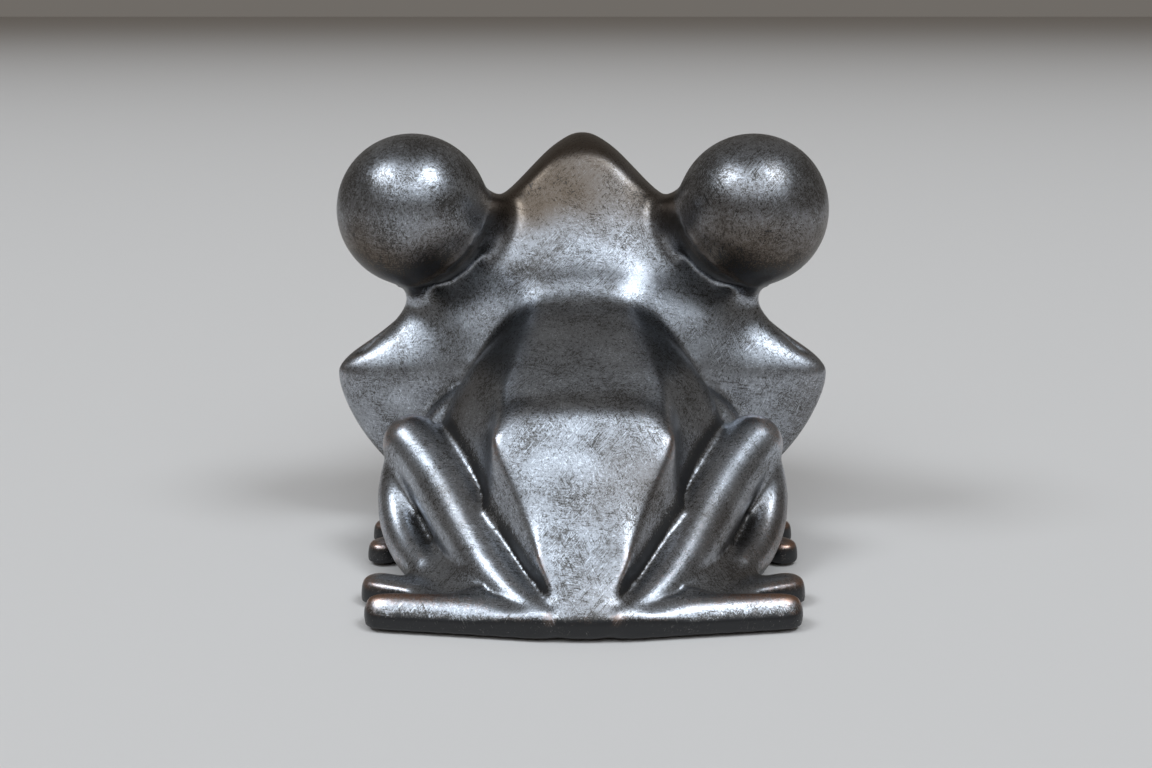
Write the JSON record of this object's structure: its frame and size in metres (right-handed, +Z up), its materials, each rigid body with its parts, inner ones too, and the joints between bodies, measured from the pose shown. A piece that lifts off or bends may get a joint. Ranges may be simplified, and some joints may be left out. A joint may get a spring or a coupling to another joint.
{
  "type": "frog figurine",
  "caption": "Crouching frog ornament with ball eyes, a wide mouth, a flat ridged back and folded legs, of dark silver-rubbed resin castings bonded together, to stand on a flat surface.",
  "frame": {"origin": "on the surface that the frog stands on, under the middle of its overall width and depth", "axes": "+Y the way the frog faces, from its tail to its snout; +X to the frog's right; +Z up"},
  "size_m": [0.244, 0.2291, 0.1964],
  "materials": {
    "painted_resin": "near-black paint dry-brushed with silver on the broad faces and copper on the raised edges, satin",
    "eye_resin": "the same paint, smoother and glossier on the balls",
    "base_resin": "plain matt black, flat",
    "pin_steel": "bright drawn steel",
    "felt": "dense black felt"
  },
  "bodies": {
    "root": {"trunk": "painted_resin", "head": "painted_resin", "left_eye": "eye_resin", "right_eye": "eye_resin", "left_hind_leg": "painted_resin", "left_hind_foot": "painted_resin", "left_front_leg": "painted_resin", "left_front_foot": "painted_resin", "right_hind_leg": "painted_resin", "right_hind_foot": "painted_resin", "right_front_leg": "painted_resin", "right_front_foot": "painted_resin", "base_plate": "base_resin", "hip_pins": "pin_steel", "shoulder_pins": "pin_steel", "ankle_pins": "pin_steel", "wrist_pins": "pin_steel", "hind_pads": "felt", "front_pads": "felt", "belly_pad": "felt", "chest_pad": "felt"}
  },
  "joints": []
}
